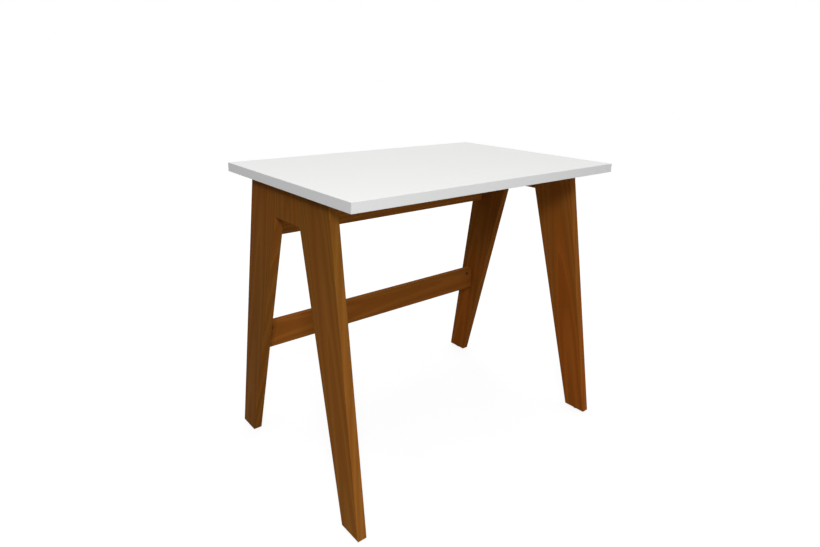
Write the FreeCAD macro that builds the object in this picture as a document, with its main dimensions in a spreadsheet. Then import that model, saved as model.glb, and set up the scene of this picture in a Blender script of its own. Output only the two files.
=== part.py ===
import FreeCAD, Part
import os
import re

import Sketcher

# A writing desk: a white board on two tapered wooden A-frames, tied together behind
# by a deep apron and a low stretcher. Millimetres, +X to the right end, +Y to the back,
# +Z up, with the origin on the floor under the middle of the top.

SIZES = {
    # Top board and its edge bands
    "desk_height": 780,
    "top_length": 900,
    "top_depth": 600,
    "top_thickness": 24,
    "band_thickness": 1,
    "band_radius": 0.8,
    # A-frames
    "end_overhang": 17,
    "frame_thickness": 24,
    "foot_spread": 600,
    "foot_width": 66,
    "head_spread": 375,
    "opening_width": 122,
    "head_rail_height": 83,
    "eased_edge": 1.5,
    # Apron and stretcher
    "rail_thickness": 18,
    "apron_height": 163,
    "apron_setback": 0.5,
    "stretcher_height": 76,
    "stretcher_rise": 259,
    "stretcher_setback": 6,
    # Dowels
    "dowel_diameter": 8,
    "dowel_length": 30,
    # Cam fittings
    "cam_diameter": 15,
    "cam_depth": 13.5,
    "cam_setback": 24,
    "cam_slot_length": 8,
    "cam_slot_width": 2,
    "cam_slot_depth": 3,
    "bolt_diameter": 6,
    "bolt_grip": 11,
    # Angle brackets under the top
    "bracket_reach": 30,
    "bracket_width": 20,
    "bracket_gauge": 2,
    "screw_diameter": 3.5,
    "screw_length": 16,
    "screw_head_diameter": 7,
    "screw_head_height": 2,
    # Nail-on glides under the feet
    "glide_height": 3,
    "glide_diameter": 18,
    "nail_diameter": 2,
    "nail_length": 15,
    "nail_head_diameter": 5,
    "nail_head_height": 1,
    "nail_head_recess": 0.8,
    # Fits
    "fit_clearance": 0.2,
    "end_gap": 1,
    "cut_overrun": 5,
    # Places along a piece, as shares of its size
    "head_dowel_low_share": 0.3,
    "head_dowel_high_share": 0.7,
    "apron_cam_low_share": 0.38,
    "apron_cam_high_share": 0.75,
    "apron_dowel_low_share": 0.18,
    "apron_dowel_high_share": 0.56,
    "stretcher_cam_share": 0.75,
    "stretcher_dowel_share": 0.3,
    "apron_bracket_share": 0.5,
    "bracket_hole_share": 0.62,
}

# Places worked out from the sizes above, each a formula over them.
PLACES = {
    "under_top": "desk_height - top_thickness",
    "outer_face": "top_length / 2 - end_overhang",
    "inner_face": "outer_face - frame_thickness",
    "frame_middle": "outer_face - frame_thickness / 2",
    "foot_outer": "foot_spread / 2",
    "foot_inner": "foot_outer - foot_width",
    "foot_middle": "foot_outer - foot_width / 2",
    "head_outer": "head_spread / 2",
    "head_inner": "opening_width / 2",
    "head_middle": "(head_outer + head_inner) / 2",
    "opening_top": "under_top - head_rail_height",
    "apron_back": "head_outer - apron_setback",
    "apron_front": "apron_back - rail_thickness",
    "apron_middle": "apron_back - rail_thickness / 2",
    "apron_bottom": "under_top - apron_height",
    "leg_rise": "under_top - glide_height",
    "opening_rise": "opening_top - glide_height",
    "stretcher_lift": "stretcher_rise + stretcher_height / 2 - glide_height",
    "leg_outer_there": "foot_outer + (head_outer - foot_outer) * stretcher_lift / leg_rise",
    "leg_inner_there": "foot_inner + (head_inner - foot_inner) * stretcher_lift / opening_rise",
    "stretcher_middle": "(leg_outer_there + leg_inner_there) / 2 + stretcher_setback",
    "stretcher_front": "stretcher_middle - rail_thickness / 2",
    "stretcher_back": "stretcher_middle + rail_thickness / 2",
    "bolt_length": "cam_setback + bolt_grip",
    "bracket_hole": "bracket_reach * bracket_hole_share",
}

SIDES = {"left": "-1", "right": "1"}
ENDS = {"front": "-1", "rear": "1"}

doc = FreeCAD.newDocument("writing_desk")
sheet = doc.addObject("Spreadsheet::Sheet", "sizes")
for row, (alias, number) in enumerate(SIZES.items(), start=1):
    sheet.set(f"A{row}", alias)
    sheet.set(f"B{row}", str(number))
    sheet.setAlias(f"B{row}", alias)
doc.recompute()

pieces = {}


def formula(text):
    """Write out the named places in a formula, and point each size at its cell of the sheet."""
    def written_out(match):
        word = match.group(0)
        if word in PLACES:
            return "(" + formula(PLACES[word]) + ")"
        return "sizes." + word if word in SIZES else word
    return re.sub(r"[a-z_]+", written_out, text)


def bind(item, **formulas):
    """Tie properties of an object to formulas over the sheet."""
    for name, text in formulas.items():
        item.setExpression(name, formula(text))


def place(item, x, y, z, axis=(0, 0, 1), angle=0):
    """Turn an object about an axis, and tie its position to formulas."""
    item.Placement = FreeCAD.Placement(FreeCAD.Vector(), FreeCAD.Rotation(FreeCAD.Vector(*axis), angle))
    for letter, text in zip("xyz", (x, y, z)):
        item.setExpression("Placement.Base." + letter, formula(text))
    return item


def rod(name, along, diameter, length, x, y, z):
    """A cylinder from a point along +X, +Y or +Z."""
    turns = {"X": ((0, 1, 0), 90), "Y": ((1, 0, 0), -90), "Z": ((0, 0, 1), 0)}
    item = doc.addObject("Part::Cylinder", name)
    bind(item, Radius=f"({diameter}) / 2", Height=length)
    return place(item, x, y, z, *turns[along])


def block(name, length, width, height, x, y, z):
    """A box from its lowest corner."""
    item = doc.addObject("Part::Box", name)
    bind(item, Length=length, Width=width, Height=height)
    return place(item, x, y, z)


def group(name, items):
    """Separate solids kept together as one object."""
    item = doc.addObject("Part::Compound", name)
    item.Links = items
    return item


def fuse(name, items):
    """Solids joined into one."""
    item = doc.addObject("Part::MultiFuse", name)
    item.Shapes = items
    return item


def cut(name, base, tools):
    """A solid with bores and slots taken out of it."""
    item = doc.addObject("Part::Cut", name)
    item.Base = base
    item.Tool = tools[0] if len(tools) == 1 else fuse(name + "_tools", tools)
    return item


def keep(name, item, solids=1):
    """Enter a finished piece under its own label, with the number of solids it must have."""
    item.Label = name
    pieces[name] = (item, solids)


def outline(body, plane, offset, corners):
    """A closed outline on one of the body's own planes, each corner held by two sizes."""
    sketch = body.newObject("Sketcher::SketchObject", body.Name + "_outline")
    support = next(item for item in body.Origin.OriginFeatures if item.Role == plane)
    sketch.AttachmentSupport = (support, "")
    sketch.MapMode = "FlatFace"
    sketch.setExpression("AttachmentOffset.Base.z", formula(offset))
    points = [
        FreeCAD.Vector(*(sheet.evalExpression(formula(text)) for text in corner))
        for corner in corners
    ]
    count = len(points)
    for index, point in enumerate(points):
        sketch.addGeometry(Part.LineSegment(point, points[(index + 1) % count]))
    for index in range(count):
        sketch.addConstraint(Sketcher.Constraint("Coincident", index, 2, (index + 1) % count, 1))
    for index, corner in enumerate(corners):
        for kind, text, number in zip(("DistanceX", "DistanceY"), corner, points[index]):
            held = sketch.addConstraint(Sketcher.Constraint(kind, -1, 1, index, 1, number))
            sketch.setExpression(f"Constraints[{held}]", formula(text))
    return sketch


def end_faces(shape, axis, ends):
    """Names of the flat faces at the low (0) or high (1) end of a shape along an axis."""
    box = shape.BoundBox
    limits = [(box.XMin, box.XMax), (box.YMin, box.YMax), (box.ZMin, box.ZMax)][axis]
    levels = [limits[end] for end in ends]
    names = []
    for number, face in enumerate(shape.Faces, start=1):
        middle = face.CenterOfMass[axis]
        if any(abs(middle - level) < Part.Precision.confusion() for level in levels):
            names.append(f"Face{number}")
    return names


def board(name, plane, offset, corners, thickness, radius="eased_edge", eased_ends=(0, 1)):
    """A board sawn to an outline, with the edges of its flat faces eased."""
    axis = {"YZ_Plane": 0, "XZ_Plane": 1, "XY_Plane": 2}[plane]
    body = doc.addObject("PartDesign::Body", name + "_blank")
    pad = body.newObject("PartDesign::Pad", name + "_pad")
    pad.Profile = outline(body, plane, offset, corners)
    bind(pad, Length=thickness)
    doc.recompute()
    easing = body.newObject("PartDesign::Fillet", name + "_easing")
    easing.Base = (pad, end_faces(pad.Shape, axis, eased_ends))
    bind(easing, Radius=radius)
    body.Tip = easing
    return body


def rectangle(low_u, low_v, high_u, high_v):
    """The four corners of an upright rectangle."""
    return [(low_u, low_v), (high_u, low_v), (high_u, high_v), (low_u, high_v)]


def bracket_set(name, turn, x, y):
    """An angle bracket in the corner of a wall and the top, with its two screws and their pilot holes.

    In its own frame the wall is at x = 0, the underside of the top at z = 0 and the bracket reaches
    to +X; a turn about Z and a place then set it against its wall.
    """
    half_width = "-bracket_width / 2"
    wall_leg = block(name + "_wall_leg", "bracket_gauge", "bracket_width", "bracket_reach",
                     "0", half_width, "-bracket_reach")
    top_leg = block(name + "_top_leg", "bracket_reach", "bracket_width", "bracket_gauge",
                    "0", half_width, "-bracket_gauge")
    hole = "screw_diameter + 2 * fit_clearance"
    through = "bracket_gauge + 2 * cut_overrun"
    holes = [
        rod(name + "_wall_hole", "X", hole, through, "-cut_overrun", "0", "-bracket_hole"),
        rod(name + "_top_hole", "Z", hole, through, "bracket_hole", "0", "-bracket_gauge - cut_overrun"),
    ]
    bracket = cut(name, fuse(name + "_angle", [wall_leg, top_leg]), holes)
    driven = "screw_length - bracket_gauge"
    wall_screw = fuse(name + "_wall_screw", [
        rod(name + "_wall_shank", "X", "screw_diameter", "screw_length",
            "bracket_gauge - screw_length", "0", "-bracket_hole"),
        rod(name + "_wall_head", "X", "screw_head_diameter", "screw_head_height",
            "bracket_gauge", "0", "-bracket_hole"),
    ])
    top_screw = fuse(name + "_top_screw", [
        rod(name + "_top_shank", "Z", "screw_diameter", "screw_length",
            "bracket_hole", "0", "-bracket_gauge"),
        rod(name + "_top_head", "Z", "screw_head_diameter", "screw_head_height",
            "bracket_hole", "0", "-bracket_gauge - screw_head_height"),
    ])
    pilot = "screw_diameter + fit_clearance"
    wall_pilot = group(name + "_wall_pilot", [
        rod(name + "_wall_bore", "X", pilot, f"{driven} + end_gap + cut_overrun",
            f"-({driven}) - end_gap", "0", "-bracket_hole"),
    ])
    top_pilot = group(name + "_top_pilot", [
        rod(name + "_top_bore", "Z", pilot, f"{driven} + end_gap + cut_overrun",
            "bracket_hole", "0", "-cut_overrun"),
    ])
    for item in (bracket, wall_screw, top_screw, wall_pilot, top_pilot):
        place(item, x, y, "under_top", (0, 0, 1), turn)
    return bracket, [wall_screw, top_screw], wall_pilot, top_pilot


def joint_dowels(name, along, places):
    """Dowels centred on a joint, and the looser and longer bores that take them."""
    pins = []
    bores = []
    for number, (x, y, z) in enumerate(places):
        centre = {"x": x, "y": y, "z": z}
        pin_start = dict(centre)
        bore_start = dict(centre)
        pin_start[along.lower()] += " - dowel_length / 2"
        bore_start[along.lower()] += " - dowel_length / 2 - end_gap"
        pins.append(rod(f"{name}_pin_{number}", along, "dowel_diameter", "dowel_length", **pin_start))
        bores.append(rod(f"{name}_bore_{number}", along, "dowel_diameter + fit_clearance",
                         "dowel_length + 2 * end_gap", **bore_start))
    return pins, bores


def cam_fitting(name, side, front, middle, z):
    """A cam with a cross recess let into a board's front face, and the bolt it pulls from the leg."""
    sign = SIDES[side]
    x = f"{sign} * (inner_face - cam_setback)"
    drum = rod(name + "_drum", "Y", "cam_diameter", "cam_depth", x, front, z)
    slot_start = f"{front} - cut_overrun"
    slot_run = "cam_slot_depth + cut_overrun"
    level_slot = block(name + "_level_slot", "cam_slot_length", slot_run, "cam_slot_width",
                       f"{x} - cam_slot_length / 2", slot_start, f"{z} - cam_slot_width / 2")
    plumb_slot = block(name + "_plumb_slot", "cam_slot_width", slot_run, "cam_slot_length",
                       f"{x} - cam_slot_width / 2", slot_start, f"{z} - cam_slot_length / 2")
    loose = "bolt_diameter + fit_clearance"
    low_end = {"left": "bolt_grip", "right": "cam_setback"}[side]
    bolt_start = f"{sign} * inner_face - {low_end}"
    bolt_hole = rod(name + "_bolt_hole", "X", loose, "bolt_length + 2 * end_gap",
                    f"{bolt_start} - end_gap", middle, z)
    cam = cut(name, drum, [level_slot, plumb_slot, bolt_hole])
    bolt = rod(name + "_bolt", "X", "bolt_diameter", "bolt_length", bolt_start, middle, z)
    cam_bore = rod(name + "_cam_bore", "Y", "cam_diameter + fit_clearance",
                   "cam_depth + fit_clearance + cut_overrun", x, slot_start, z)
    bolt_bore = rod(name + "_bolt_bore", "X", loose, "bolt_length + 2 * end_gap",
                    f"{bolt_start} - end_gap", middle, z)
    return cam, bolt, cam_bore, bolt_bore


# Joinery first: every pin knows the bores it needs, and the boards are then drilled with them.

head_bores = {}
for side, sign in SIDES.items():
    places = [
        (f"{sign} * frame_middle", f"{end} * head_inner", f"opening_top + head_rail_height * {share}")
        for end in ENDS.values()
        for share in ("head_dowel_low_share", "head_dowel_high_share")
    ]
    pins, head_bores[side] = joint_dowels(f"{side}_head", "Y", places)
    keep(f"{side}_frame_dowels", group(f"{side}_frame_dowels", pins), len(pins))

RAILS = {
    "apron": {
        "front": "apron_front",
        "middle": "apron_middle",
        "cams": ("apron_cam_low_share", "apron_cam_high_share"),
        "dowels": ("apron_dowel_low_share", "apron_dowel_high_share"),
        "height": "apron_bottom + apron_height * ",
    },
    "stretcher": {
        "front": "stretcher_front",
        "middle": "stretcher_middle",
        "cams": ("stretcher_cam_share",),
        "dowels": ("stretcher_dowel_share",),
        "height": "stretcher_rise + stretcher_height * ",
    },
}
rail_bores = {"apron": [], "stretcher": []}
leg_bores = {"left": [], "right": []}
for rail, facts in RAILS.items():
    cams = []
    bolts = []
    dowels = []
    for side, sign in SIDES.items():
        for number, share in enumerate(facts["cams"]):
            cam, bolt, cam_bore, bolt_bore = cam_fitting(
                f"{rail}_{side}_cam_{number}", side,
                facts["front"], facts["middle"], facts["height"] + share)
            cams.append(cam)
            bolts.append(bolt)
            rail_bores[rail] += [cam_bore, bolt_bore]
            leg_bores[side].append(bolt_bore)
        places = [
            (f"{sign} * inner_face", facts["middle"], facts["height"] + share)
            for share in facts["dowels"]
        ]
        pins, bores = joint_dowels(f"{rail}_{side}", "X", places)
        dowels += pins
        rail_bores[rail] += bores
        leg_bores[side] += bores
    keep(f"{rail}_cams", group(f"{rail}_cams", cams), len(cams))
    keep(f"{rail}_cam_bolts", group(f"{rail}_cam_bolts", bolts), len(bolts))
    keep(f"{rail}_dowels", group(f"{rail}_dowels", dowels), len(dowels))

screws = []
top_pilots = []
frame_pilots = {}
for side, sign in SIDES.items():
    brackets = []
    turn = {"left": 0, "right": 180}[side]
    for end, end_sign in ENDS.items():
        bracket, pair, wall_pilot, top_pilot = bracket_set(
            f"{side}_{end}_bracket", turn, f"{sign} * inner_face", f"{end_sign} * head_middle")
        brackets.append(bracket)
        screws += pair
        top_pilots.append(top_pilot)
        frame_pilots[side, end] = wall_pilot
    keep(f"{side}_top_brackets", group(f"{side}_top_brackets", brackets), len(brackets))

brackets = []
for side, sign in SIDES.items():
    bracket, pair, wall_pilot, top_pilot = bracket_set(
        f"apron_{side}_bracket", -90, f"{sign} * inner_face * apron_bracket_share", "apron_front")
    brackets.append(bracket)
    screws += pair
    top_pilots.append(top_pilot)
    rail_bores["apron"].append(wall_pilot)
keep("apron_top_brackets", group("apron_top_brackets", brackets), len(brackets))
keep("bracket_screws", group("bracket_screws", screws), len(screws))

glides = []
nails = []
nail_bores = {}
for side, sign in SIDES.items():
    for end, end_sign in ENDS.items():
        name = f"{side}_{end}_glide"
        spot = {"x": f"{sign} * frame_middle", "y": f"{end_sign} * foot_middle"}
        disc = rod(name + "_disc", "Z", "glide_diameter", "glide_height", z="0", **spot)
        loose = "nail_diameter + fit_clearance"
        nail_bores[side, end] = rod(name + "_nail_bore", "Z", loose,
                                    "nail_head_recess + nail_length + end_gap", z="0", **spot)
        head_bore = rod(name + "_head_bore", "Z", "nail_head_diameter + fit_clearance",
                        "nail_head_recess + nail_head_height + cut_overrun", z="-cut_overrun", **spot)
        glides.append(cut(name, disc, [nail_bores[side, end], head_bore]))
        nails.append(fuse(name + "_nail", [
            rod(name + "_nail_shank", "Z", "nail_diameter", "nail_length", z="nail_head_recess", **spot),
            rod(name + "_nail_head", "Z", "nail_head_diameter", "nail_head_height",
                z="nail_head_recess", **spot),
        ]))
keep("foot_glides", group("foot_glides", glides), len(glides))
keep("glide_nails", group("glide_nails", nails), len(nails))

# Top board with its edge bands: the long bands cover the ends of the short ones.

core_length = "(top_length / 2 - band_thickness)"
core_depth = "(top_depth / 2 - band_thickness)"
top_body = doc.addObject("PartDesign::Body", "top_board_blank")
top_pad = top_body.newObject("PartDesign::Pad", "top_board_pad")
top_pad.Profile = outline(top_body, "XY_Plane", "under_top",
                          rectangle(f"-{core_length}", f"-{core_depth}", core_length, core_depth))
bind(top_pad, Length="top_thickness")
keep("top_board", cut("top_board", top_body, top_pilots))

long_band = rectangle("-top_length / 2", "under_top", "top_length / 2", "desk_height")
short_band = rectangle(f"-{core_depth}", "under_top", core_depth, "desk_height")
BANDS = {
    "front_edge_band": ("XZ_Plane", core_depth, long_band, (0,)),
    "rear_edge_band": ("XZ_Plane", "-top_depth / 2", long_band, (1,)),
    "left_edge_band": ("YZ_Plane", "-top_length / 2", short_band, (0,)),
    "right_edge_band": ("YZ_Plane", core_length, short_band, (1,)),
}
for name, (plane, offset, corners, outside) in BANDS.items():
    keep(name, board(name, plane, offset, corners, "band_thickness", "band_radius", outside))

# A-frames: two tapered legs and the short head rail between them.

for side, sign in SIDES.items():
    low_face = {"left": "-outer_face", "right": "inner_face"}[side]
    for end, end_sign in ENDS.items():
        name = f"{side}_{end}_leg"
        corners = [
            (f"{end_sign} * foot_inner", "glide_height"),
            (f"{end_sign} * foot_outer", "glide_height"),
            (f"{end_sign} * head_outer", "under_top"),
            (f"{end_sign} * head_inner", "under_top"),
            (f"{end_sign} * head_inner", "opening_top"),
        ]
        blank = board(name, "YZ_Plane", low_face, corners, "frame_thickness")
        joint = {"front": slice(0, 2), "rear": slice(2, 4)}[end]
        bores = head_bores[side][joint] + [frame_pilots[side, end], nail_bores[side, end]]
        if end == "rear":
            bores += leg_bores[side]
        keep(name, cut(name, blank, bores))
    name = f"{side}_head_rail"
    corners = rectangle("-head_inner", "opening_top", "head_inner", "under_top")
    keep(name, cut(name, board(name, "YZ_Plane", low_face, corners, "frame_thickness"), head_bores[side]))

# Apron and stretcher between the rear legs.

apron_corners = rectangle("-inner_face", "apron_bottom", "inner_face", "under_top")
apron = board("rear_apron", "XZ_Plane", "-apron_back", apron_corners, "rail_thickness")
keep("rear_apron", cut("rear_apron", apron, rail_bores["apron"]))

stretcher_top = "stretcher_rise + stretcher_height"
stretcher_corners = rectangle("-inner_face", "stretcher_rise", "inner_face", stretcher_top)
stretcher = board("rear_stretcher", "XZ_Plane", "-stretcher_back", stretcher_corners, "rail_thickness")
keep("rear_stretcher", cut("rear_stretcher", stretcher, rail_bores["stretcher"]))

doc.recompute()

for item in doc.Objects:
    if "Invalid" in item.State or "Error" in item.State:
        raise RuntimeError(f"{item.Label} did not build: {item.State}")
for name, (item, solids) in pieces.items():
    shape = item.Shape
    if shape.isNull() or not shape.isValid() or len(shape.Solids) != solids:
        raise RuntimeError(f"{name} is not {solids} sound solid(s)")
    if isinstance(getattr(item, "Base", None), FreeCAD.DocumentObject):
        if shape.Volume >= item.Base.Shape.Volume:
            raise RuntimeError(f"{name} lost nothing to its bores")

os.makedirs("parts", exist_ok=True)
for name, (item, solids) in pieces.items():
    item.Shape.exportStep(f"parts/{name}.step")
    print(f"{name}: {solids} solid(s), {item.Shape.Volume:.0f} cubic mm")
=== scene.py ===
# %% [markdown]
# # A writing desk with A-frame sides
# The desk is a white board on two tapered wooden frames, tied together behind by a deep
# apron and a low stretcher. Its construction is already made: this lesson loads it as a
# fixed frame, and gives the pieces their eased edges, their finish, the light and the view.

# %% Load the frame
import bpy
import math
import numpy as np
from mathutils import Euler, Matrix, Vector


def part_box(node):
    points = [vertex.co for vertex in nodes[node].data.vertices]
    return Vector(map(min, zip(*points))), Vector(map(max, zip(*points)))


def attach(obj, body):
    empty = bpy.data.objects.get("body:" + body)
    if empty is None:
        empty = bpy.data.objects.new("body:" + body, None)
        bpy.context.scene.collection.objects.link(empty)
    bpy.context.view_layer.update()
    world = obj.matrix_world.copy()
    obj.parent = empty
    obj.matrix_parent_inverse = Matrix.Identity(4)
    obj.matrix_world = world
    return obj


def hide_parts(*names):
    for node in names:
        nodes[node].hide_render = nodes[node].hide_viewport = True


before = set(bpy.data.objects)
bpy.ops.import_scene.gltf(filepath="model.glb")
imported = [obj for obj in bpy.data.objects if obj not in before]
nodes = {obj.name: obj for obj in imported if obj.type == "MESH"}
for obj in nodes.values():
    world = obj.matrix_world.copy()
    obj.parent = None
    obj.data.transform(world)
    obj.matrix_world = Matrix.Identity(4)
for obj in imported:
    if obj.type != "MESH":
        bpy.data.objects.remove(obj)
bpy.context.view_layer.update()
print("pieces in the frame:", len(nodes))

# %% [markdown]
# ## A shorthand for shader nodes
# A shader can be wired by hand in the editor, or written out call by call. Both get long,
# so one small function places a node, sets its options and fills or links its inputs.
# The others are the few kinds of node that come up again and again.

# %% Shader shorthand
# How many finer layers a noise has on top of its first.
PLAIN_DETAIL = 1.0
SOFT_DETAIL = 2.0
FINE_DETAIL = 3.0


def fill(tree, socket, value):
    """Link a socket to another one, or set it to a plain value."""
    if isinstance(value, bpy.types.NodeSocket):
        tree.links.new(value, socket)
    else:
        socket.default_value = value


def add(tree, kind, inputs=None, **options):
    """Place one shader node, set its options, then fill its inputs by name or number."""
    node = tree.nodes.new(kind)
    for name, value in options.items():
        setattr(node, name, value)
    for name, value in (inputs or {}).items():
        fill(tree, node.inputs[name], value)
    return node


def math_node(tree, operation, first, second=0.0):
    """The output of one Math node: first and second put together by the operation."""
    return add(tree, "ShaderNodeMath", {0: first, 1: second}, operation=operation).outputs[0]


def mix_colour(tree, share, first, second, blend="MIX"):
    """The output of one colour mix: second laid over first by its share.

    A Mix node keeps its share in socket 0 and its colours in 6 and 7, and gives a colour at 2.
    """
    inputs = {0: share, 6: first, 7: second}
    return add(tree, "ShaderNodeMix", inputs, data_type="RGBA", blend_type=blend).outputs[2]


def stretched(tree, vector, scale):
    """A vector scaled differently along its three axes."""
    inputs = {0: vector, 1: scale}
    return add(tree, "ShaderNodeVectorMath", inputs, operation="MULTIPLY").outputs[0]


def noise(tree, vector, scale, detail=SOFT_DETAIL):
    """Soft noise from 0 to 1 over a vector stretched by three scales."""
    inputs = {"Vector": stretched(tree, vector, scale), "Scale": 1.0, "Detail": detail}
    return add(tree, "ShaderNodeTexNoise", inputs).outputs["Fac"]


def between(tree, value, low, high):
    """A value from 0 to 1 spread over low to high, and held there outside that range."""
    inputs = {"Value": value, "To Min": low, "To Max": high}
    return add(tree, "ShaderNodeMapRange", inputs).outputs["Result"]


def open_group(name, inputs, outputs):
    """A new node group with named sockets; gives the tree, its input node and its output node."""
    tree = bpy.data.node_groups.new(name, "ShaderNodeTree")
    new_socket = tree.interface.new_socket
    for socket, (kind, value) in inputs.items():
        made = new_socket(name=socket, in_out="INPUT", socket_type="NodeSocket" + kind)
        if value is not None:
            made.default_value = value
    for socket, kind in outputs.items():
        new_socket(name=socket, in_out="OUTPUT", socket_type="NodeSocket" + kind)
    return tree, tree.nodes.new("NodeGroupInput"), tree.nodes.new("NodeGroupOutput")


def open_material(name):
    """A new material; gives it, its tree and its Principled shader."""
    material = bpy.data.materials.new(name)
    material.use_nodes = True
    return material, material.node_tree, material.node_tree.nodes["Principled BSDF"]


print("shorthand ready")

# %% [markdown]
# ## How a board grows
# Sawn pine shows the tree's rings: nested cones about the pith, cut by the board's faces.
# A flat picture of grain would slide over the edges, so the rings are worked out in space
# instead. The distance from the pith, bent by slow noise and drifting along the length, is
# counted in rings, and everything within the heart's reach takes the redder heart stain.
# Where a cone runs out through a face it leaves the pointed arches of a flat-sawn board, and
# faces, edges and end grain agree by themselves.

# %% The grain group
YEARS_PER_METRE = 90.0
NARROW_RINGS = 0.36
HEART_SOFTNESS = 0.005
HEART_HALFWAY = 0.5
BEND = 0.012
UNEVENNESS = 0.006
BROAD_RING = ((0.25, 0.35), (0.6, 1.0), (0.9, 0.55))
NARROW_RING = ((0.5, 0.2), (0.85, 1.0))
BROAD_SHARE = 0.72
NARROW_SHARE = 0.08
LINE_DEPTH = 0.3

# How often each noise changes in a metre, across the board twice and then along it.
SLOW_BENDS = (11, 11, 1.7)
STREAKS = (55, 55, 1.1)
FIBRES = (700, 700, 10)
CLOUDS = (6, 6, 1.6)
PORES = (900, 900, 22)

# The range that each noise is spread over.
STREAK_ON_LINES = (0.3, 1.6)
STREAK_SHADE = (0.85, 1.15)
FIBRE_SHADE = (0.86, 1.14)
CLOUD_COOL = (0.88, 1.12)
CLOUD_WARM = (1.05, 0.95)
LACQUER_SATIN = (0.34, 0.50)


def rings(tree, reach, width, stops):
    """Where a distance falls in its ring, as a grey: the fraction of reach / width on a ramp."""
    phase = math_node(tree, "FRACT", math_node(tree, "DIVIDE", reach, width))
    node = add(tree, "ShaderNodeValToRGB", {0: phase})
    black = (0, 0, 0, 1)
    node.color_ramp.elements[0].color = black
    node.color_ramp.elements[1].color = black
    for place, level in stops:
        node.color_ramp.elements.new(place).color = (level, level, level, 1)
    return node.outputs["Color"]


def make_pine_grain():
    """Reach = distance from the local Z axis + drift * z + slow noise, in two sizes of ring.

    The shade of the stain is multiplied by 1 + fade * z.
    """
    tree, source, result = open_group(
        "pine_grain",
        {"Vector": ("Vector", None), "Seed": ("Float", 0.0), "Ring Width": ("Float", 0.012),
         "Drift": ("Float", 0.02), "Heart Reach": ("Float", 0.0), "Contrast": ("Float", 0.5),
         "Fade": ("Float", 0.0),
         "Sap": ("Color", (1, 1, 1, 1)), "Heart": ("Color", (1, 1, 1, 1)),
         "Late": ("Color", (0.6, 0.5, 0.4, 1))},
        {"Color": "Color", "Height": "Float", "Roughness": "Float"},
    )
    vector = source.outputs["Vector"]
    seed = source.outputs["Seed"]
    seeded = add(tree, "ShaderNodeVectorMath", {0: vector, 1: seed}, operation="ADD").outputs[0]
    along = add(tree, "ShaderNodeSeparateXYZ", {0: vector}).outputs["Z"]
    across = stretched(tree, vector, (1, 1, 0))
    radius = add(tree, "ShaderNodeVectorMath", {0: across}, operation="LENGTH").outputs["Value"]
    drift = math_node(tree, "MULTIPLY", along, source.outputs["Drift"])
    bend = between(tree, noise(tree, seeded, SLOW_BENDS), -BEND, BEND)
    reach = math_node(tree, "ADD", math_node(tree, "ADD", radius, drift), bend)

    inside = math_node(tree, "SUBTRACT", source.outputs["Heart Reach"], reach)
    crossed = math_node(tree, "DIVIDE", inside, HEART_SOFTNESS)
    heart = math_node(tree, "ADD", crossed, HEART_HALFWAY)
    heart = add(tree, "ShaderNodeClamp", {0: heart}).outputs[0]
    ground = mix_colour(tree, heart, source.outputs["Sap"], source.outputs["Heart"])

    year = math_node(tree, "MULTIPLY", reach, YEARS_PER_METRE)
    inputs = {"W": year, "Scale": 1.0}
    years = add(tree, "ShaderNodeTexNoise", inputs, noise_dimensions="1D").outputs["Fac"]
    uneven = math_node(tree, "ADD", reach, between(tree, years, -UNEVENNESS, UNEVENNESS))
    broad = rings(tree, uneven, source.outputs["Ring Width"], BROAD_RING)
    narrow_width = math_node(tree, "MULTIPLY", source.outputs["Ring Width"], NARROW_RINGS)
    narrow = rings(tree, uneven, narrow_width, NARROW_RING)
    streak = noise(tree, seeded, STREAKS, FINE_DETAIL)
    lines = math_node(tree, "ADD", math_node(tree, "MULTIPLY", broad, BROAD_SHARE),
                      math_node(tree, "MULTIPLY", narrow, NARROW_SHARE))
    late = math_node(tree, "MULTIPLY", lines, between(tree, streak, *STREAK_ON_LINES))
    late = math_node(tree, "MULTIPLY", late, source.outputs["Contrast"])
    late = add(tree, "ShaderNodeClamp", {0: late}).outputs[0]
    wood = mix_colour(tree, late, ground, source.outputs["Late"], "MULTIPLY")

    fibre = noise(tree, seeded, FIBRES, FINE_DETAIL)
    cloud = noise(tree, seeded, CLOUDS)
    # Fade darkens or lightens a board along its length; on the rear stretcher it is painted shade.
    fade = math_node(tree, "MULTIPLY", along, source.outputs["Fade"])
    shade = math_node(tree, "MULTIPLY", between(tree, fibre, *FIBRE_SHADE),
                      between(tree, streak, *STREAK_SHADE))
    shade = math_node(tree, "MULTIPLY", shade, math_node(tree, "ADD", fade, 1.0))
    cool = math_node(tree, "MULTIPLY", shade, between(tree, cloud, *CLOUD_COOL))
    warm = math_node(tree, "MULTIPLY", shade, between(tree, cloud, *CLOUD_WARM))
    tint = add(tree, "ShaderNodeCombineColor", {0: warm, 1: cool, 2: cool}).outputs[0]
    tree.links.new(mix_colour(tree, 1.0, wood, tint, "MULTIPLY"), result.inputs["Color"])

    pores = noise(tree, seeded, PORES, PLAIN_DETAIL)
    height = math_node(tree, "SUBTRACT", pores, math_node(tree, "MULTIPLY", narrow, LINE_DEPTH))
    tree.links.new(height, result.inputs["Height"])
    tree.links.new(between(tree, fibre, *LACQUER_SATIN), result.inputs["Roughness"])
    return tree


pine_grain = make_pine_grain()
print("grain group:", pine_grain.name, len(pine_grain.nodes), "nodes")
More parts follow.
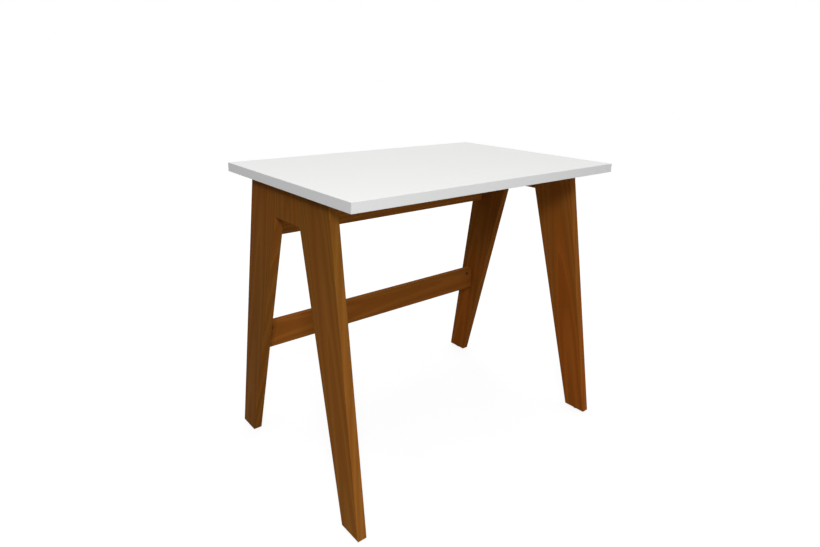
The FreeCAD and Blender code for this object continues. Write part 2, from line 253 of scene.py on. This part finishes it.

# %% [markdown]
# ## A finish for each wooden board
# Every board was sawn from its own place in the log, so no two may show the same figure.
# One way is a separate texture per board; here all share the grain group, and a Mapping
# node turns the pith along each board and sets it off behind one face. The stain is a honey
# brown that each board takes a little differently, under a dull lacquer. The left front leg
# is darker towards its head, and the rear stretcher carries painted shade, darker towards its
# right end.

# %% Wood material
SAP_STAIN = np.array((0.322, 0.116, 0.019))
HEART_STAIN = np.array((0.354, 0.101, 0.0138))
LATE_STAIN = (0.62, 0.50, 0.36, 1)
LACQUER_GLOSS = 0.003
PORE_DEPTH = 0.0004
PORE_STRENGTH = 0.18
PINE_GROWTH = {"Ring Width": 0.012, "Drift": 0.027, "Contrast": 0.72, "Late": LATE_STAIN}


def stain(shade, redness):
    """A stain between sap and heart by its redness, made lighter or darker by its shade."""
    return tuple(shade * ((1 - redness) * SAP_STAIN + redness * HEART_STAIN)) + (1,)


def make_wood(name, turn, pith, values):
    """Object coordinates, turned to lay the board along Z and moved to put the pith at zero."""
    material, tree, shader = open_material(name)
    place = add(tree, "ShaderNodeTexCoord").outputs["Object"]
    shift = -(turn.to_matrix() @ pith)
    board = add(tree, "ShaderNodeMapping", {"Vector": place, "Rotation": turn, "Location": shift})
    inputs = {"Vector": board.outputs[0], **values}
    grain = add(tree, "ShaderNodeGroup", inputs, node_tree=pine_grain)
    bump = add(tree, "ShaderNodeBump", {"Height": grain.outputs["Height"],
                                        "Strength": PORE_STRENGTH, "Distance": PORE_DEPTH})
    tree.links.new(grain.outputs["Color"], shader.inputs["Base Color"])
    tree.links.new(grain.outputs["Roughness"], shader.inputs["Roughness"])
    tree.links.new(bump.outputs[0], shader.inputs["Normal"])
    shader.inputs["Specular IOR Level"].default_value = LACQUER_GLOSS
    return material


def make_stained_board(name, turn, pith, shade, redness, seed, heart_reach=0.0, fade=0.0):
    """Stained pine for one board, with its own tone, heart and seed; a fade changes its shade along
    its length, which on the rear stretcher is painted shade.
    """
    tone = {"Sap": stain(shade, redness), "Heart": stain(shade, 1.0)}
    values = {"Seed": seed, "Heart Reach": heart_reach, "Fade": fade, **tone, **PINE_GROWTH}
    return make_wood(f"stained_{name}", turn, pith, values)


def dress(name, material):
    """Put a finish on a piece that keeps its own shape."""
    mesh = nodes[name].data
    mesh.materials.clear()
    mesh.materials.append(material)


def middle(name):
    """The middle of a piece's box."""
    low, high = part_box(name)
    return (low + high) / 2


print("sap stain", stain(1.0, 0.0), "heart stain", stain(1.0, 1.0))

# %% [markdown]
# ## Boards with eased edges
# A cabinet maker takes the sharpness off every edge that a hand can reach, and leaves the
# edges inside a joint square, so that the joint closes. The frame's own boards are eased all
# round, which leaves a groove along each joint, and a Bevel modifier would round their hidden
# bores as well. So the boards of the two frames are made again as stacks of outlines: the
# outline is drawn in along a quarter circle towards both faces, and each corner moves by its
# own pull.

# %% Eased board surface
EASE = 0.0015
EASE_STEPS = 5

# A narrow flat strip beside each easing keeps the shading of the wide faces flat.
FLAT_MARGIN = 0.0008
SMOOTH_LIMIT = math.radians(30)


def mitre_pull(outline, eased):
    """How each corner moves when its eased edges go in by one.

    The pull times the inward normal is 1 for an eased edge and 0 for a square one, and this holds
    for both edges that meet at the corner. The second result is 1 where the outline turns to the
    left and -1 where it turns to the right.
    """
    edges = np.roll(outline, -1, axis=0) - outline
    area = 0.5 * np.sum(outline[:, 0] * edges[:, 1] - outline[:, 1] * edges[:, 0])
    inward = np.sign(area) * np.stack([-edges[:, 1], edges[:, 0]], axis=1)
    inward = inward / np.linalg.norm(inward, axis=1, keepdims=True)
    both = np.stack([np.roll(inward, 1, axis=0), inward], axis=1)
    amounts = np.stack([np.roll(eased, 1), eased], axis=1)[:, :, None]
    return np.linalg.solve(both, amounts)[:, :, 0], np.sign(area)


def make_eased_board(name, outline, pull, turn_sense, near, far, material):
    """A grid of outlines from one face to the other.

    At angle a of the quarter circle the outline is drawn in by EASE (1 - sin a), and lies
    EASE (1 - cos a) from the face.
    """
    angle = np.linspace(0, math.pi / 2, EASE_STEPS)
    drawn_in = np.concatenate([[EASE + FLAT_MARGIN], EASE * (1 - np.sin(angle)), [0.0]])
    depth = np.concatenate([[0.0], EASE * (1 - np.cos(angle)), [EASE + FLAT_MARGIN]])
    drawn_in = np.concatenate([drawn_in, drawn_in[::-1]])
    place = np.concatenate([near + depth, far - depth[::-1]])
    loops = outline[None] + drawn_in[:, None, None] * pull[None]
    count, corners = loops.shape[:2]
    across = np.broadcast_to(place[:, None, None], (count, corners, 1))
    verts = np.concatenate([across, loops], axis=2)
    index = np.arange(count * corners).reshape(count, corners)
    ahead = np.roll(index, -1, axis=1)
    quads = np.stack([index[:-1], ahead[:-1], ahead[1:], index[1:]], axis=-1).reshape(-1, 4)
    caps = np.stack([index[0, ::-1], index[-1]])
    if turn_sense < 0:
        quads = quads[:, ::-1]
        caps = caps[:, ::-1]
    mesh = bpy.data.meshes.new(name)
    mesh.from_pydata(verts.reshape(-1, 3).tolist(), [], quads.tolist() + caps.tolist())
    mesh.polygons.foreach_set("use_smooth", np.ones(len(mesh.polygons), bool))
    mesh.set_sharp_from_angle(angle=SMOOTH_LIMIT)
    mesh.materials.append(material)
    piece = bpy.data.objects.new(name, mesh)
    bpy.context.scene.collection.objects.link(piece)
    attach(piece, "root")
    return piece


print("edges eased by", EASE * 1000, "mm")

# %% [markdown]
# ## Legs and head rails
# Each leg is wide at the head and narrow at the foot, and leans in towards the middle; its
# grain runs along it. The head rail between the legs has upright grain, so the three look like
# one wide board. The outer edges, the soles and the opening are eased, and the glued joints
# and the edge under the top are square. The right front leg shows the heart of its log as a
# long pointed arch, so its heart reaches furthest; the right rear leg has less of it, and
# the others have none.

# %% Frames
FOOT_WIDTH = 0.066
HEAD_SPREAD = 0.375
PITH_BEHIND = 0.0325

# 1 for an eased edge, 0 for a square one. A leg has its outer edge, the edge under the top, the
# glued joint, the opening and the sole; a rail has the opening, two glued joints and the edge
# under the top between them.
LEG_EASED = np.array([1.0, 0.0, 0.0, 1.0, 1.0])
RAIL_EASED = np.array([1.0, 0.0, 0.0, 0.0])

# The corner where joint and opening meet slides up along the joint.
OPENING_CORNER = 3
ALONG_JOINT = (0.0, 1.0)

# The heart's reach is in metres, and a fade is the change of shade in a metre.
FRAME_STAINS = {
    # The left front leg's fade makes it darker towards its head.
    "left_front_leg": dict(shade=0.99, redness=-0.3, seed=1.7, fade=-0.45),
    "left_rear_leg": dict(shade=0.86, redness=-0.1, seed=4.2),
    "left_head_rail": dict(shade=0.86, redness=0.0, seed=2.9),
    "right_front_leg": dict(shade=1.02, redness=0.25, seed=7.3, heart_reach=0.0528),
    "right_rear_leg": dict(shade=0.85, redness=0.25, seed=5.6, heart_reach=0.046),
    "right_head_rail": dict(shade=0.85, redness=0.3, seed=8.8),
}

for side in ("left", "right"):
    rail_name = f"{side}_head_rail"
    rail_low, rail_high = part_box(rail_name)
    near, far = rail_low.x, rail_high.x
    for end, sign in (("front", -1), ("rear", 1)):
        name = f"{side}_{end}_leg"
        low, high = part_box(name)
        foot = max(-low.y, high.y)
        outline = np.array([
            (sign * foot, low.z),
            (sign * HEAD_SPREAD / 2, high.z),
            (sign * rail_high.y, high.z),
            (sign * rail_high.y, rail_low.z),
            (sign * (foot - FOOT_WIDTH), low.z),
        ])
        pull, sense = mitre_pull(outline, LEG_EASED)
        pull[OPENING_CORNER] = ALONG_JOINT
        foot_middle = foot - FOOT_WIDTH / 2
        head_middle = (HEAD_SPREAD / 2 + rail_high.y) / 2
        lean = -sign * math.atan2(foot_middle - head_middle, high.z - low.z)
        pith = middle(name) + Vector((PITH_BEHIND, 0, 0))
        pith.y = sign * (foot_middle + head_middle) / 2
        wood = make_stained_board(name, Euler((lean, 0, 0)), pith, **FRAME_STAINS[name])
        leg = make_eased_board(f"eased_{name}", outline, pull, sense, near, far, wood)
        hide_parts(name)
    outline = np.array([
        (rail_low.y, rail_low.z),
        (rail_high.y, rail_low.z),
        (rail_high.y, rail_high.z),
        (rail_low.y, rail_high.z),
    ])
    pull, sense = mitre_pull(outline, RAIL_EASED)
    pith = middle(rail_name) + Vector((PITH_BEHIND, 0, 0))
    wood = make_stained_board(rail_name, Euler((0, 0, 0)), pith, **FRAME_STAINS[rail_name])
    rail = make_eased_board(f"eased_{rail_name}", outline, pull, sense, near, far, wood)
    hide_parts(rail_name)
print("frames made; legs lean", round(math.degrees(abs(lean)), 2), "degrees")

# %% [markdown]
# ## Apron, stretcher and dowels
# The two boards that tie the frames together run the length of the desk, so their grain does
# too. Turning the coordinates a quarter about Y lays the pith along X. The dowels inside the
# joints are plain beech, unstained, with rings so close that they hardly show.

# %% Cross boards
ALONG_X = Euler((0, -math.pi / 2, 0))
ALONG_Y = Euler((math.pi / 2, 0, 0))
PITH_ABOVE = 0.01
CROSS_PITH = Vector((0, PITH_BEHIND, PITH_ABOVE))
CROSS_STAINS = {
    "rear_apron": dict(shade=1.2, redness=0.1, seed=3.3),
    # The stretcher's fade is painted shade: it darkens the board towards its right end.
    "rear_stretcher": dict(shade=0.99, redness=0.35, seed=6.1, fade=-0.3),
}
for name, tone in CROSS_STAINS.items():
    dress(name, make_stained_board(name, ALONG_X, middle(name) + CROSS_PITH, **tone))

BEECH = (0.62, 0.42, 0.25, 1)
BEECH_GROWTH = {"Ring Width": 0.002, "Drift": 0.01, "Contrast": 0.4, "Sap": BEECH, "Heart": BEECH}
DOWEL_TURNS = {"left_frame_dowels": ALONG_Y, "right_frame_dowels": ALONG_Y,
               "apron_dowels": ALONG_X, "stretcher_dowels": ALONG_X}
for name, turn in DOWEL_TURNS.items():
    dress(name, make_wood(f"plain_{name}", turn, middle(name), BEECH_GROWTH))
print("cross boards and dowels done")

# %% [markdown]
# ## White top
# The top is a board faced with white laminate and edged with a thin plastic band. A plain white
# would look like paper; the real faces have a faint pebble pressed into them and a sheen that
# varies with handling. One group makes the pebble and the sheen for both.

# %% Laminate group and finishes
SHEEN_CLOUDS = (5, 5, 5)
WHITE_SHADE = (0.975, 1.02)
WHITE_SATIN = (0.34, 0.50)
PEBBLE_DEPTH = 0.0002


def make_pressed_white():
    """Two sizes of noise: a fine pebble for the height, slow clouds for colour and sheen."""
    tree, source, result = open_group(
        "pressed_white",
        {"Vector": ("Vector", None), "White": ("Color", (1, 1, 1, 1)), "Pebble": ("Float", 1400.0)},
        {"Color": "Color", "Height": "Float", "Roughness": "Float"},
    )
    vector = source.outputs["Vector"]
    inputs = {"Vector": vector, "Scale": source.outputs["Pebble"], "Detail": SOFT_DETAIL}
    pebble = add(tree, "ShaderNodeTexNoise", inputs).outputs["Fac"]
    cloud = noise(tree, vector, SHEEN_CLOUDS, FINE_DETAIL)
    shade = between(tree, cloud, *WHITE_SHADE)
    grey = add(tree, "ShaderNodeCombineColor", {0: shade, 1: shade, 2: shade}).outputs[0]
    white = mix_colour(tree, 1.0, source.outputs["White"], grey, "MULTIPLY")
    tree.links.new(white, result.inputs["Color"])
    tree.links.new(pebble, result.inputs["Height"])
    tree.links.new(between(tree, cloud, *WHITE_SATIN), result.inputs["Roughness"])
    return tree


pressed_white = make_pressed_white()


def make_white_finish(name, white, pebble, bump_strength):
    """A satin white whose pebble and sheen come from the shared group."""
    material, tree, shader = open_material(name)
    place = add(tree, "ShaderNodeTexCoord").outputs["Object"]
    inputs = {"Vector": place, "White": white, "Pebble": pebble}
    press = add(tree, "ShaderNodeGroup", inputs, node_tree=pressed_white)
    bump = add(tree, "ShaderNodeBump", {"Height": press.outputs["Height"],
                                        "Strength": bump_strength, "Distance": PEBBLE_DEPTH})
    tree.links.new(press.outputs["Color"], shader.inputs["Base Color"])
    tree.links.new(press.outputs["Roughness"], shader.inputs["Roughness"])
    tree.links.new(bump.outputs[0], shader.inputs["Normal"])
    return material


laminate = make_white_finish("white_laminate", white=(0.84, 0.84, 0.83, 1),
                             pebble=1400.0, bump_strength=0.15)
edging = make_white_finish("white_edging", white=(0.80, 0.81, 0.80, 1),
                           pebble=900.0, bump_strength=0.10)
dress("top_board", laminate)
for name in ("front_edge_band", "rear_edge_band", "left_edge_band", "right_edge_band"):
    dress(name, edging)
print("top and edging done")

# %% [markdown]
# ## Fittings
# The metal is out of sight but for the cams in the cross boards. These have a bronze coat as
# brown as the wood; the bolts, brackets, screws and nails are zinc plated, a grey metal with a
# sheen broken by soft blotches. The glides under the feet are moulded brown plastic.

# %% Fitting finishes
BLOTCHES = (220, 220, 220)
SCRATCHES = (1500, 1500, 1500)
BLOTCH_SHADE = 0.72
SCRATCH_DEPTH = 0.0001
SCRATCH_STRENGTH = 0.1


def make_fitting_finish(name, colour, metallic, gloss, smooth, rough):
    """A metal or plastic whose tone and sheen are broken by two sizes of noise."""
    material, tree, shader = open_material(name)
    place = add(tree, "ShaderNodeTexCoord").outputs["Object"]
    blotch = noise(tree, place, BLOTCHES, FINE_DETAIL)
    scratch = noise(tree, place, SCRATCHES)
    dark = tuple(BLOTCH_SHADE * part for part in colour[:3]) + (1,)
    bump = add(tree, "ShaderNodeBump", {"Height": scratch, "Strength": SCRATCH_STRENGTH,
                                        "Distance": SCRATCH_DEPTH})
    tree.links.new(mix_colour(tree, blotch, dark, colour), shader.inputs["Base Color"])
    tree.links.new(between(tree, blotch, smooth, rough), shader.inputs["Roughness"])
    tree.links.new(bump.outputs[0], shader.inputs["Normal"])
    shader.inputs["Metallic"].default_value = metallic
    shader.inputs["Specular IOR Level"].default_value = gloss
    return material


bronze = make_fitting_finish("bronzed_zinc", colour=(0.19, 0.060, 0.016, 1),
                             metallic=0.0, gloss=0.05, smooth=0.4, rough=0.6)
zinc = make_fitting_finish("zinc_plated_steel", colour=(0.62, 0.62, 0.60, 1),
                           metallic=1.0, gloss=0.5, smooth=0.25, rough=0.45)
brown = make_fitting_finish("brown_plastic", colour=(0.05, 0.032, 0.02, 1),
                            metallic=0.0, gloss=0.3, smooth=0.45, rough=0.6)
for name in ("apron_cams", "stretcher_cams"):
    dress(name, bronze)
for name in ("apron_cam_bolts", "stretcher_cam_bolts", "left_top_brackets", "right_top_brackets",
             "apron_top_brackets", "bracket_screws", "glide_nails"):
    dress(name, zinc)
dress("foot_glides", brown)
print("fittings done")

# %% [markdown]
# ## Floor
# The desk stands on a white page. A floor lit up to pure white would need too much light on the
# desk, so the floor is a mid grey that keeps the shadow, and adds a glow of its own that only
# the camera, mirrors and glass can see.

# %% Floor
FLOOR_REACH = 40.0
FLOOR_GREY = (0.22, 0.22, 0.22, 1)
FLOOR_GLOW = 0.84


def seen_directly(tree):
    """1 for a ray that looks straight at a surface or by way of a mirror or glass, otherwise 0."""
    path = add(tree, "ShaderNodeLightPath").outputs
    mirrored = math_node(tree, "MAXIMUM", path["Is Camera Ray"], path["Is Glossy Ray"])
    return math_node(tree, "MAXIMUM", mirrored, path["Is Transmission Ray"])


corners = FLOOR_REACH * np.array([(-1, -1, 0), (1, -1, 0), (1, 1, 0), (-1, 1, 0)], float)
floor_mesh = bpy.data.meshes.new("floor")
floor_mesh.from_pydata(corners.tolist(), [], [(0, 1, 2, 3)])
floor = bpy.data.objects.new("floor", floor_mesh)
bpy.context.scene.collection.objects.link(floor)
page, tree, shader = open_material("white_page")
shader.inputs["Base Color"].default_value = FLOOR_GREY
shader.inputs["Roughness"].default_value = 1.0
shader.inputs["Specular IOR Level"].default_value = 0.0
shader.inputs["Emission Color"].default_value = (1, 1, 1, 1)
glow = math_node(tree, "MULTIPLY", seen_directly(tree), FLOOR_GLOW)
tree.links.new(glow, shader.inputs["Emission Strength"])
floor_mesh.materials.append(page)
print("floor reaches", FLOOR_REACH, "m")

# %% [markdown]
# ## Light
# A product picture needs a soft light with a little direction. The sky is bright overhead and
# dim at the horizon, like a ceiling of diffusers, so the top is the palest face. The key lamp
# hangs at the front left, high enough for the top to shade the heads of the right-hand legs.
# A weak lamp stands low in front and reaches under the top, as far as the apron. A third lamp
# behind keeps the far sides from sinking; it is kept out of reflections, because it would
# stand as a white glare on the satin top.

# %% Sky and lamps
SKY_LOW = 0.10
SKY_HIGH = 1.36
SKY_POWER = 2.0
PAGE_WHITE = 1.0
world = bpy.data.worlds.new("studio")
bpy.context.scene.world = world
world.use_nodes = True
tree = world.node_tree
sky = tree.nodes["Background"]
sky.inputs["Color"].default_value = (1, 1, 1, 1)
direction = add(tree, "ShaderNodeTexCoord").outputs["Generated"]
upward = add(tree, "ShaderNodeSeparateXYZ", {0: direction}).outputs["Z"]
overhead = math_node(tree, "POWER", math_node(tree, "MAXIMUM", upward, 0.0), SKY_POWER)
glow = between(tree, overhead, SKY_LOW, SKY_HIGH)

# With plain values a Mix node keeps its share in socket 0 and the two values in 2 and 3.
inputs = {0: seen_directly(tree), 2: glow, 3: PAGE_WHITE}
lit = add(tree, "ShaderNodeMix", inputs, data_type="FLOAT").outputs[0]
tree.links.new(lit, sky.inputs["Strength"])

LAMP_AIM = Vector((0, 0, 0.5))


def hang_lamp(name, place, size, watts):
    """A square lamp at a place, turned so that its -Z points at the desk."""
    lamp = bpy.data.lights.new(name, "AREA")
    lamp.size = size
    lamp.energy = watts
    stand = bpy.data.objects.new(name, lamp)
    stand.location = place
    stand.rotation_euler = (LAMP_AIM - Vector(place)).to_track_quat("-Z", "Y").to_euler()
    bpy.context.scene.collection.objects.link(stand)
    return stand


key_lamp = hang_lamp("key_lamp", place=(-1.45, -1.85, 1.95), size=0.5, watts=27.0)
front_lamp = hang_lamp("front_lamp", place=(-0.2, -1.8, 0.45), size=0.6, watts=4.0)
back_lamp = hang_lamp("back_lamp", place=(1.6, 2.4, 1.5), size=1.2, watts=14.0)
back_lamp.visible_glossy = False
lamps = [key_lamp, front_lamp, back_lamp]
print("sky", SKY_LOW, "to", SKY_HIGH, "and lamps of", [lamp.data.energy for lamp in lamps], "W")

# %% [markdown]
# ## Camera
# The picture is cut from a larger one, so the point straight ahead of the lens lies above its
# middle. A shift of the lens says exactly that; tilting the camera down instead would make
# the uprights lean. The place, heading, dip and lens were fitted to the desk's own corners.

# %% Camera
CAMERA_PLACE = (-1.0742, -1.2394, 1.0353)
CAMERA_HEADING = math.radians(39.400)
CAMERA_DIP = math.radians(11.493)
CAMERA_ROLL = math.radians(1.095)
LENS = 25.987
SENSOR_WIDTH = 36.0
LENS_SHIFT = -0.1018
VIEW_REACH = 200.0

lens = bpy.data.cameras.new("camera")
lens.lens = LENS
lens.sensor_width = SENSOR_WIDTH
lens.shift_y = LENS_SHIFT
lens.clip_end = VIEW_REACH
camera = bpy.data.objects.new("camera", lens)
heading = Matrix.Rotation(-CAMERA_HEADING, 4, "Z")
dip = Matrix.Rotation(math.pi / 2 - CAMERA_DIP, 4, "X")
roll = Matrix.Rotation(CAMERA_ROLL, 4, "Z")
camera.matrix_world = Matrix.Translation(CAMERA_PLACE) @ heading @ dip @ roll
bpy.context.scene.collection.objects.link(camera)
bpy.context.scene.camera = camera
bpy.context.scene.view_settings.view_transform = "Standard"
print("camera at", CAMERA_PLACE, "lens", LENS, "mm")
